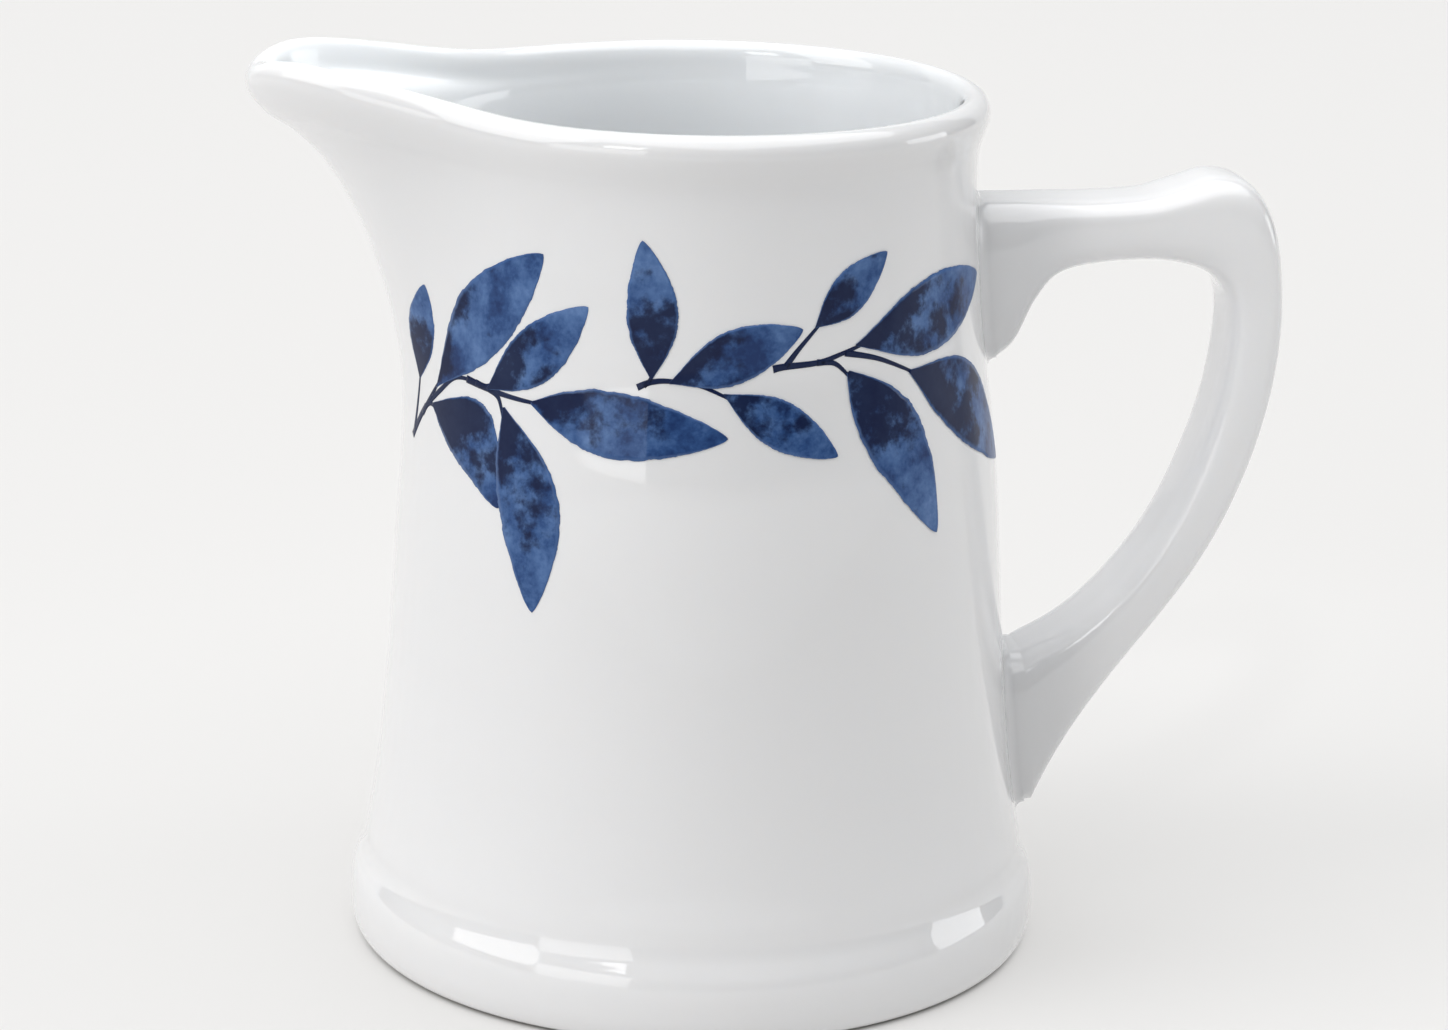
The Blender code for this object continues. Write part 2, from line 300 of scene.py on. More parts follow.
def mixColour(tree, share, first, second):
    node = addNode(tree, "ShaderNodeMix", data_type="RGBA")
    feed(tree, node.inputs[0], share)
    for socket, colour in ((node.inputs[6], first), (node.inputs[7], second)):
        feed(tree, socket, (*colour, 1.0) if isinstance(colour, tuple) else colour)
    return node.outputs[2]


# The slight waviness and the pinholes of a dipped glaze
def glazeRipple(tree, shader, place):
    ripple = noise(tree, place, glaze["rippleSize"], glaze["rippleDetail"], glaze["rippleRoughness"])
    holes = addLabelled(tree, "ShaderNodeTexVoronoi", {"Vector": place, "Scale": glaze["pinholeSize"]})
    rare = spread(tree, noise(tree, place, glaze["pinholePatch"], 0.0), *glaze["pinholeRarity"])
    middle = spread(tree, holes.outputs["Distance"], *glaze["pinholeEdge"], 1.0, 0.0)
    pit = calc(tree, "MULTIPLY", calc(tree, "MULTIPLY", middle, rare), glaze["pinholeDepth"])
    values = {
        "Strength": glaze["rippleStrength"], "Distance": glaze["rippleDepth"],
        "Height": calc(tree, "SUBTRACT", ripple, pit),
    }
    bump = addLabelled(tree, "ShaderNodeBump", values)
    for label in ("Normal", "Coat Normal"):
        tree.links.new(bump.outputs[0], shader.inputs[label])


def attribute(tree, name):
    return addNode(tree, "ShaderNodeAttribute", attribute_name=name).outputs["Fac"]


def porcelain(name, withFoot):
    material, tree, shader = newMaterial(name)
    place = tree.nodes.new("ShaderNodeTexCoord").outputs["Object"]
    x, _, height = splitXyz(tree, place)
    cloud = spread(tree, noise(tree, place, glaze["cloudSize"]), *glaze["cloudRange"], 0.0, glaze["cloudShare"])
    colour = mixColour(tree, cloud, glaze["porcelainColour"], glaze["shadeColour"])
    glazeCoat(shader, glaze["roughness"], glaze["specular"], 1.0)
    shader.inputs["Subsurface Weight"].default_value = glaze["scatterShare"]
    shader.inputs["Subsurface Radius"].default_value = glaze["scatterColour"]
    shader.inputs["Subsurface Scale"].default_value = glaze["scatterDepth"]
    if withFoot:  # the ring that the jug is fired on is wiped clean of glaze
        # the inside gets the darker copy of the glaze, painted shade in the hollow
        colour = mixColour(tree, attribute(tree, "inside"), colour, glaze["insideShadeColour"])
        grit = noise(tree, place, glaze["gritSize"], glaze["gritDetail"])
        level = calc(tree, "ADD", height, calc(tree, "MULTIPLY", grit, glaze["gritDepth"]))
        bare = spread(tree, level, *glaze["bisqueHeight"], 1.0, 0.0)
        colour = mixColour(tree, bare, colour, glaze["bisqueColour"])
        rough = spread(tree, bare, 0.0, 1.0, glaze["roughness"], glaze["bisqueRoughness"])
        feed(tree, shader.inputs["Roughness"], rough)
        feed(tree, shader.inputs["Coat Weight"], calc(tree, "SUBTRACT", 1.0, bare))
    else:
        # painted shade: the handle and its joints darken towards the wall
        lean = calc(tree, "MULTIPLY", height, glaze["wallLean"])
        wallHere = calc(tree, "SUBTRACT", axisX + glaze["wallRadius"], lean)
        gap = calc(tree, "SUBTRACT", x, wallHere)
        root = spread(tree, gap, *glaze["rootShadeReach"], 1.0, 0.0, kind="SMOOTHSTEP")
        colour = mixColour(tree, root, colour, glaze["rootShadeColour"])
    feed(tree, shader.inputs["Base Color"], colour)
    glazeRipple(tree, shader, place)
    return material


# Blue that was washed on wet: clouded blues, dark pools with ragged shores and a thin pale rim
def leafPrint():
    material, tree, shader = newMaterial("leafPrint")
    place = tree.nodes.new("ShaderNodeTexCoord").outputs["Object"]
    along, across = attribute(tree, "along"), attribute(tree, "across")
    seed, pool, lean = attribute(tree, "leafSeed"), attribute(tree, "leafPool"), attribute(tree, "leafLean")
    step = joinXyz(tree, seed, calc(tree, "MULTIPLY", seed, wash["leafSkew"]), seed)
    spot = calcVector(tree, "ADD", place, calcVector(tree, "SCALE", step, wash["leafShift"]))
    cloud = spread(tree, noise(tree, spot, wash["cloudSize"], *wash["cloudGrain"]), *wash["cloudRange"])
    blotch = noise(tree, spot, wash["blotchSize"], *wash["blotchGrain"])
    speck = noise(tree, spot, wash["speckSize"], *wash["speckGrain"])
    speck = spread(tree, speck, *wash["speckRange"], -1.0, 1.0)
    ramp = tree.nodes.new("ShaderNodeValToRGB")
    stops = ramp.color_ramp.elements
    for position, colour in wash["colours"][1:-1]:
        stops.new(position).color = (*colour, 1.0)
    stops[0].color, stops[-1].color = ((*wash["colours"][k][1], 1.0) for k in (0, -1))
    feed(tree, ramp.inputs[0], calc(tree, "ADD", cloud, calc(tree, "MULTIPLY", speck, wash["speckInCloud"])))
    drift = calc(tree, "MULTIPLY", across, lean)
    nearness = calc(tree, "SUBTRACT", calc(tree, "ADD", pool, drift), along)
    nearness = calc(tree, "MULTIPLY", nearness, wash["poolSlope"])
    swing = calc(tree, "MULTIPLY", calc(tree, "SUBTRACT", blotch, 0.5), wash["blotchSwing"])
    grain = calc(tree, "MULTIPLY", speck, wash["speckInPool"])
    level = calc(tree, "ADD", calc(tree, "ADD", nearness, swing), grain)
    dark = spread(tree, level, -wash["shore"], wash["shore"] * wash["shoreStretch"], kind="SMOOTHSTEP")
    colour = mixColour(tree, calc(tree, "MULTIPLY", dark, wash["poolShare"]), ramp.outputs[0], wash["deepBlue"])
    side = calc(tree, "ADD", calc(tree, "ABSOLUTE", across), calc(tree, "MULTIPLY", speck, wash["speckInRim"]))
    rim = spread(tree, side, *wash["rimRange"], 0.0, wash["rimShare"])
    feed(tree, shader.inputs["Base Color"], mixColour(tree, rim, colour, wash["rimBlue"]))
    glazeCoat(shader, wash["roughness"], wash["specular"], wash["gloss"])
    glazeRipple(tree, shader, place)
    return material


bodyGlaze = porcelain("bodyGlaze", True)
handleGlaze = porcelain("handleGlaze", False)
jointGlaze = porcelain("jointGlaze", False)
leafBlue = leafPrint()
print("materials ready")


body = {
    # radius and height; the profile runs from under the foot, up the outside, over the rim and down inside
    "underside": [(0, 2.2), (8, 2.2), (16, 2.2), (24, 2.2), (29, 2.2), (30.6, 2.05), (31.6, 1.6), (32.2, 0.95),
                  (32.55, 0.4), (33.0, 0.06), (33.6, 0.0), (34.4, 0.0), (35.3, 0.0)],
    "foot": [(36.1, 0.02), (36.7, 0.15), (37.25, 0.5), (37.7, 1.1), (38.0, 1.9), (38.15, 2.9), (38.15, 4.3),
             (38.02, 5.8), (37.74, 7.1), (37.28, 8.2), (36.85, 9.2), (36.52, 10.4)],
    "wall": [(36.3, 12), (35.75, 15), (35.3, 18), (34.8, 22), (34.35, 27), (33.9, 32), (33.5, 38), (33.15, 43.5),
             (32.8, 49), (32.4, 53.5), (31.9, 58), (31.35, 62), (30.8, 66), (30.3, 70), (29.9, 75), (29.5, 80),
             (29.3, 84), (29.25, 86.6)],
    "bead": [(29.35, 88.2), (29.6, 89.3), (29.95, 90.3), (30.25, 91.3), (30.35, 92.1), (30.2, 92.9), (29.75, 93.6),
             (29.15, 94.0), (28.5, 94.12), (27.85, 93.85), (27.4, 93.3), (27.15, 92.5), (27.0, 91.4)],
    "inside": [(26.8, 90.0), (26.6, 88), (26.5, 85), (26.65, 80), (27.0, 75), (27.45, 70.5), (27.9, 66), (28.9, 58),
               (29.8, 49), (30.5, 38), (31.0, 30), (31.2, 22), (31.2, 15), (30.9, 11.6), (30.1, 9.2), (28.8, 7.4),
               (27.0, 6.2), (24, 5.4), (19, 5.0), (12, 4.85), (6, 4.8), (0, 4.8)],
    "lag": 2.2,  # the inside of the spout follows the outside this much higher up
    # on the rim, the inside's darker painted-shade colour comes in from the first radius to the second, and so with
    # height
    "crownRadius": (28.6, 27.6),
    "crownHeight": (85.0, 90.0),
    "around": 288,
    "smoothness": 4,
    "seam": 0.002,  # points closer than this are sewn together
}

spout = {
    "reach": 18.2,
    # height, and how far the wall is pulled out there
    "pull": [(53, 0), (62, 0.9), (70, 3.1), (76, 5.3), (81, 7.7), (85, 10.6), (88, 14.2), (90, 17.2),
             (92, 18.1), (95, 18.0)],
    "crowding": 0.35,  # how far the columns are drawn together at the spout
    "narrowShare": 0.8,
    "narrowAngle": 21.0,
    "wideAngle": 42.0,
    "liftStart": 80.0,
    "liftEnd": 94.15,
    "rise": 4.5,
    "riseAngle": 27.0,
    "tipDip": 1.9,
    "tipDipAngle": 7.0,
}


def turnedWallTree():
    tree, given = newTree("turnedWall", [
        ("Around", "Int"), ("Smoothness", "Int"), ("Axis X", "Float"), ("Crowding", "Float"),
        ("Pull Reach", "Float"), ("Narrow Share", "Float"), ("Narrow Angle", "Float"), ("Wide Angle", "Float"),
        ("Lift Start", "Float"), ("Lift End", "Float"), ("Rise", "Float"), ("Rise Angle", "Float"),
        ("Tip Dip", "Float"), ("Tip Dip Angle", "Float"), ("Material", "Material"),
    ])
    # the profile, with x as radius, z as height and y as the lag of the pull
    profile = roundedCurve(tree, given["Geometry"], given["Smoothness"])
    outline = addNode(tree, "GeometryNodeCurveToMesh", (profile,)).outputs[0]
    sized = addNode(tree, "GeometryNodeAttributeDomainSize", (outline,), component="MESH")
    count = sized.outputs["Point Count"]
    sheet = flatSheet(tree, 1.0, calc(tree, "ADD", given["Around"], 1.0), count)
    position = tree.nodes.new("GeometryNodeInputPosition").outputs[0]
    flat = splitXyz(tree, position)
    row = calc(tree, "MULTIPLY", calc(tree, "ADD", flat[1], 0.5), calc(tree, "SUBTRACT", count, 1.0))
    values = {"Geometry": outline, "Value": position, "Index": calc(tree, "ROUND", row)}
    kinds = {"data_type": "FLOAT_VECTOR", "domain": "POINT"}
    sample = addLabelled(tree, "GeometryNodeSampleIndex", values, **kinds)
    radius, lag, height = splitXyz(tree, sample.outputs[0])

    # the angle from the middle of the spout, with the columns crowded there
    turn = calc(tree, "MULTIPLY", flat[0], 2 * math.pi)
    angle = calc(tree, "SUBTRACT", turn, calc(tree, "MULTIPLY", calc(tree, "SINE", turn), given["Crowding"]))
    degrees = calc(tree, "ABSOLUTE", calc(tree, "DEGREES", angle))
    narrow = calc(tree, "MULTIPLY", bell(tree, degrees, given["Narrow Angle"]), given["Narrow Share"])
    rest = calc(tree, "SUBTRACT", 1.0, given["Narrow Share"])
    share = calc(tree, "ADD", narrow, calc(tree, "MULTIPLY", bell(tree, degrees, given["Wide Angle"]), rest))

    # how far the spout is pulled out at this height
    first, last = spout["pull"][0][0], spout["pull"][-1][0]
    pull = tree.nodes.new("ShaderNodeFloatCurve")
    curve = pull.mapping.curves[0]
    marks = [((z - first) / (last - first), out / spout["reach"]) for z, out in spout["pull"]]
    curve.points[0].location = marks[0]
    curve.points[-1].location = marks[-1]
    for mark in marks[1:-1]:
        curve.points.new(*mark)
    pull.mapping.update()
    feed(tree, pull.inputs["Value"], spread(tree, calc(tree, "SUBTRACT", height, lag), first * mm, last * mm))
    out = calc(tree, "MULTIPLY", calc(tree, "MULTIPLY", pull.outputs[0], given["Pull Reach"]), share)
    reach = calc(tree, "ADD", radius, out)

    # the rim rises towards the spout and dips at its tip
    near = spread(tree, height, given["Lift Start"], given["Lift End"], kind="SMOOTHSTEP")
    rise = calc(tree, "MULTIPLY", bell(tree, degrees, given["Rise Angle"]), given["Rise"])
    dip = calc(tree, "MULTIPLY", bell(tree, degrees, given["Tip Dip Angle"]), given["Tip Dip"])
    lift = calc(tree, "MULTIPLY", calc(tree, "SUBTRACT", rise, dip), near)
    x = calc(tree, "SUBTRACT", given["Axis X"], calc(tree, "MULTIPLY", reach, calc(tree, "COSINE", angle)))
    y = calc(tree, "MULTIPLY", calc(tree, "MULTIPLY", reach, calc(tree, "SINE", angle)), -1.0)
    # where the inside's painted-shade colour goes, fading in over the rim
    narrowing = spread(tree, radius, *(r * mm for r in body["crownRadius"]))
    crown = calc(tree, "MULTIPLY", narrowing, spread(tree, height, *(z * mm for z in body["crownHeight"])))
    inside = calc(tree, "MAXIMUM", spread(tree, lag, 0.0, mm), crown)
    marked = store(tree, sheet, "inside", inside)
    placed = moved(tree, marked, joinXyz(tree, x, y, calc(tree, "ADD", height, lift)))
    endTree(tree, sewn(tree, placed, body["seam"] * mm), given["Material"])
    return tree


# The body's profile as a poly spline in metres
def profileCurve():
    rows = [(r, z, 0.0) for part in ("underside", "foot", "wall", "bead") for r, z in body[part]]
    rows += [(r, z, body["lag"]) for r, z in body["inside"]]
    data = bpy.data.curves.new("jugProfile", "CURVE")
    data.dimensions = "3D"
    line = data.splines.new("POLY")
    line.points.add(len(rows) - 1)
    for point, (radius, height, lag) in zip(line.points, rows):
        point.co = (radius * mm, lag * mm, height * mm, 1.0)
    return linkNew("jugProfile", data)


# Recalculates the normals of a closed piece
def faceOutwards(piece):
    shell = bmesh.new()
    shell.from_mesh(piece.data)
    bmesh.ops.recalc_face_normals(shell, faces=shell.faces)
    shell.to_mesh(piece.data)
    shell.free()


def makeBody():
    values = {
        "Around": body["around"], "Smoothness": body["smoothness"], "Axis X": axisX, "Crowding": spout["crowding"],
        "Pull Reach": spout["reach"] * mm, "Narrow Share": spout["narrowShare"],
        "Narrow Angle": spout["narrowAngle"], "Wide Angle": spout["wideAngle"],
        "Lift Start": spout["liftStart"] * mm, "Lift End": spout["liftEnd"] * mm,
        "Rise": spout["rise"] * mm, "Rise Angle": spout["riseAngle"],
        "Tip Dip": spout["tipDip"] * mm, "Tip Dip Angle": spout["tipDipAngle"], "Material": bodyGlaze,
    }
    piece = growPiece("jugBody", profileCurve(), turnedWallTree(), values)
    faceOutwards(piece)
    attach(piece, "root")
    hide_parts("jug_body")
    return piece


jugBody = makeBody()
wallFinder = BVHTree.FromObject(jugBody, bpy.context.evaluated_depsgraph_get())
print("turned wall:", len(jugBody.data.polygons), "faces")


handle = {
    # outer point, inner point and width of each section; points are x from the axis, and z
    "stations": [
        ((31.6, 82.1), (31.6, 64.6), 12.8), ((33.4, 82.1), (33.6, 66.5), 12.5), ((35.4, 82.1), (35.7, 71.0), 12.2),
        ((38.0, 82.1), (38.2, 74.0), 12.0), ((42.5, 82.1), (42.6, 75.2), 12.0), ((48.0, 82.5), (48.2, 75.5), 12.0),
        ((51.8, 83.6), (52.0, 75.0), 12.2), ((55.3, 84.6), (54.7, 74.0), 12.4), ((58.8, 83.9), (56.2, 72.5), 12.5),
        ((61.3, 80.9), (56.9, 71.0), 12.4), ((62.7, 76.2), (57.2, 69.0), 12.1), ((63.3, 69.0), (57.1, 66.0), 12.0),
        ((62.8, 62.3), (56.5, 61.3), 12.0), ((61.5, 56.1), (55.5, 57.0), 12.0), ((59.8, 50.8), (54.0, 52.6), 12.0),
        ((57.5, 45.4), (52.0, 47.7), 12.0), ((54.6, 40.2), (49.5, 43.2), 12.0), ((51.3, 35.5), (46.4, 39.1), 12.0),
        ((47.9, 31.0), (43.2, 35.8), 12.1), ((44.7, 26.6), (40.6, 33.8), 12.3), ((41.7, 22.0), (38.6, 32.7), 12.5),
        ((39.3, 17.6), (37.1, 32.0), 12.7), ((37.4, 13.4), (35.6, 31.2), 12.9),
    ],
    "squareness": 3.8,
    "around": 64,
    "steps": 10,
    "fillet": 1.1,  # size of the rounded corner where an end meets the wall
    "filletRows": 10,
    "filletSlack": 0.01,  # how far the corner stands off the handle
    "filletSunk": 0.005,  # how deep its thin edge goes into the wall
    "slipSunk": 0.3,  # how deep the hidden slip goes into the wall
    "slipInset": 0.4,  # how far it reaches in under the handle's edge
    "sunk": 0.6,  # how deep the hidden ends go into the wall
    "sharpAngle": 50,
}


# Catmull-Rom rows through rows of numbers
def smoothThrough(rows, steps):
    before, beyond = ([2 * a - b for a, b in zip(*pair)] for pair in ((rows[0], rows[1]), (rows[-1], rows[-2])))
    padded = [before, *rows, beyond]
    out = []
    for k in range(1, len(padded) - 2):
        for step in range(steps):
            t = step / steps
            row = []
            for a, b, c, d in zip(*padded[k - 1:k + 3]):
                bend = (c - a) * t + (2 * a - 5 * b + 4 * c - d) * t * t + (3 * b - a - 3 * c + d) * t ** 3
                row.append(b + bend / 2)
            out.append(row)
    return out + [list(rows[-1])]


def sectionRing(outerX, outerZ, innerX, innerZ, width):
    middle = Vector(((outerX + innerX) / 2, 0, (outerZ + innerZ) / 2))
    half = Vector((outerX, 0, outerZ)) - middle
    ring = []
    for step in range(handle["around"]):
        turn = 2 * math.pi * step / handle["around"]
        sides = (math.cos(turn), math.sin(turn))
        c, s = (math.copysign(abs(v) ** (2 / handle["squareness"]), v) for v in sides)
        ring.append((middle + half * c + Vector((0, width / 2 * s, 0))) * mm + Vector((axisX, 0, 0)))
    return ring


# The point slid along X until it is this far from the wall
def onWall(point, gap):
    farOut = 0.2  # well outside the jug
    hit = wallFinder.ray_cast(Vector((farOut, point.y, point.z)), Vector((-1, 0, 0)))[0]
    return Vector((hit.x + gap, point.y, point.z))


# The ring pushed outwards in the YZ plane
def grownRing(ring, by):
    middle = sum(ring, Vector()) / len(ring)
    out = []
    for k, point in enumerate(ring):
        along = ring[(k + 1) % len(ring)] - ring[k - 1]
        aside = Vector((0, along.z, -along.y)).normalized()
        if aside.dot(point - middle) < 0:
            aside.negate()
        out.append(point + aside * by)
    return out


# A closed body through rings of equal count; a hoop joins the last ring to the first
def closedLoft(name, rings, material, hoop=False):
    count = len(rings[0])
    points = [p for ring in rings for p in ring]
    pairs = [(k, k + 1) for k in range(len(rings) - 1)] + ([(len(rings) - 1, 0)] if hoop else [])
    faces = []
    for low, high in pairs:
        for k in range(count):
            after = (k + 1) % count
            faces.append((low * count + k, low * count + after, high * count + after, high * count + k))
    if not hoop:
        faces += [tuple(range(count))[::-1], tuple(range((len(rings) - 1) * count, len(rings) * count))]
    mesh = bpy.data.meshes.new(name)
    mesh.from_pydata(points, [], faces)
    mesh.materials.append(material)
    piece = linkNew(name, mesh)
    faceOutwards(piece)
    mesh.shade_smooth()
    mesh.set_sharp_from_angle(angle=math.radians(handle["sharpAngle"]))
    return piece


def strapRings():
    flat = [(*outer, *inner, width) for outer, inner, width in handle["stations"]]
    return [sectionRing(*row) for row in smoothThrough(flat, handle["steps"])]


def makeHandle(rings):
    sunk = -handle["sunk"] * mm
    trimmed = [[p if p.x > onWall(p, sunk).x else onWall(p, sunk) for p in ring] for ring in rings[1:-1]]
    ends = [[onWall(p, sunk) for p in ring] for ring in (rings[0], rings[-1])]
    piece = closedLoft("strapHandle", [ends[0], *trimmed, ends[1]], handleGlaze)
    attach(piece, "root")
    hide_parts("handle")


# The slip that fills the corner between a handle end and the wall
def makeJoint(name, ring, node):
    size, rows = handle["fillet"] * mm, handle["filletRows"]
    slack, lipSunk = handle["filletSlack"] * mm, handle["filletSunk"] * mm
    sunk, inset = -handle["slipSunk"] * mm, -handle["slipInset"] * mm
    rings = []
    for row in range(rows + 1):
        turn = math.pi / 2 * row / rows
        wide = grownRing(ring, size * (1 - math.cos(turn)) + slack)
        rings.append([onWall(p, size * (1 - math.sin(turn)) - lipSunk) for p in wide])
    for by, gap in ((size, sunk), (inset, sunk), (inset, size)):
        rings.append([onWall(p, gap) for p in grownRing(ring, by)])
    piece = closedLoft(name, rings, jointGlaze, hoop=True)
    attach(piece, "root")
    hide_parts(node)


handleRings = strapRings()
makeHandle(handleRings)
makeJoint("upperJointSlip", handleRings[0], "upper_slip_joint")
makeJoint("lowerJointSlip", handleRings[-1], "lower_slip_joint")
print("handle:", len(handleRings), "sections")


leafRule = {
    "wrapRadius": 32.0,
    "film": 0.03,  # thickness of the print
    "sunk": 0.02,  # how far its underside lies in the wall
    "layer": 0.006,  # each later leaf lies this much higher
    "along": 90,
    "across": 16,
    "root": 0.015,
    "wobble": 0.035,
    "stemEnd": 0.45,
    # the noise that wears a leaf's edge, stretched along it and moved on from leaf to leaf
    "edgeStretch": 9.0,
    "edgeStep": 3.3,
    "edgeSize": 1.5,
    "edgeGrain": (4.0, 0.7),
    "edgeRange": (0.2, 0.8),
    "bluntness": (1.2, 0.75),  # slim at the base, blunt at the tip
    "stemSteps": 10,
    "stemAcross": 5,
    "stemTone": 0.8,  # a stem's edges stop short of a leaf's pale rim
    "stemPool": 1.5,  # and nearly all of it is dark pool
    "seam": 0.0005,  # points closer than this are sewn together
}

# A leaf is base, tip, width, bend, fullness, pool, lean and seed, and a stem is its route and width.
# Lengths run round the wall from the middle of the side
sprays = {
    "Spout": {
        "leaves": [
            ((-41.3, 64.4), (-39.0, 75.2), 4.9, 0.3, 0.95, 0.45, 0.0, 1),
            ((-37.7, 64.2), (-21.8, 81.0), 7.9, 0.5, 1.08, 0.3, 0.25, 2),
            ((-28.9, 65.9), (-16.1, 76.2), 6.0, -0.5, 1.0, 0.62, 0.1, 3),
            ((-38.4, 62.6), (-25.6, 54.2), 7.4, 2.9, 0.93, 0.95, 0.1, 4),
            ((-26.2, 64.9), (-20.7, 44.1), 7.6, 1.7, 0.93, 0.52, 0.0, 5),
            ((-22.8, 65.7), (-0.6, 63.6), 6.8, -0.2, 0.9, 0.45, 0.35, 6),
        ],
        "stems": [
            ([(-43.0, 58.0), (-40.0, 61.6), (-36.7, 64.3), (-34.0, 66.2), (-31.2, 66.5)], 0.8),
            ([(-32.0, 66.5), (-28.6, 66.1), (-25.2, 65.8), (-20.8, 65.6)], 0.8),
            ([(-42.6, 58.6), (-41.9, 61.6), (-41.0, 66.0)], 0.6),
            ([(-40.4, 61.0), (-38.6, 63.2), (-36.6, 65.6)], 0.7),
            ([(-30.5, 66.4), (-28.8, 66.3), (-27.4, 67.1)], 0.7),
            ([(-39.9, 61.8), (-38.6, 62.5), (-36.9, 62.1)], 0.7),
            ([(-28.4, 66.1), (-26.9, 65.4), (-26.0, 63.4)], 0.7),
        ],
    },
    "Middle": {
        "leaves": [
            ((-8.8, 69.2), (-10.2, 83.4), 5.7, -0.6, 0.93, 0.55, 0.0, 7),
            ((-7.1, 69.0), (7.6, 74.4), 5.5, 0.2, 1.0, 0.45, 0.1, 8),
            ((-1.3, 68.2), (11.3, 61.2), 4.9, 0.1, 1.0, 0.5, 0.0, 9),
        ],
        "stems": [
            ([(-10.3, 68.5), (-8.9, 69.1), (-6.9, 69.3), (-3.6, 68.9), (0.2, 67.3)], 0.7),
            ([(-9.6, 68.7), (-8.9, 69.4), (-8.7, 70.8)], 0.6),
        ],
    },
    "Handle": {
        "leaves": [
            ((8.9, 74.4), (18.5, 81.4), 4.5, 0.1, 0.95, 0.6, 0.1, 10),
            ((13.6, 72.2), (39.0, 75.9), 7.9, 0.0, 1.0, 0.55, 0.1, 11),
            ((21.0, 68.8), (42.5, 55.0), 8.6, 1.6, 0.95, 0.65, -0.1, 12),
            ((12.7, 69.9), (24.1, 51.3), 7.7, 1.2, 0.85, 0.58, 0.1, 13),
        ],
        "stems": [
            ([(4.2, 70.5), (5.5, 70.7), (9.4, 70.9), (12.0, 71.5), (15.4, 72.4)], 0.8),
            ([(5.6, 70.7), (7.2, 72.5), (10.0, 75.2)], 0.7),
            ([(12.6, 71.6), (17.1, 70.5), (22.6, 68.2)], 0.7),
            ([(9.2, 70.9), (11.4, 70.6), (13.4, 68.8)], 0.7),
        ],
    },
}


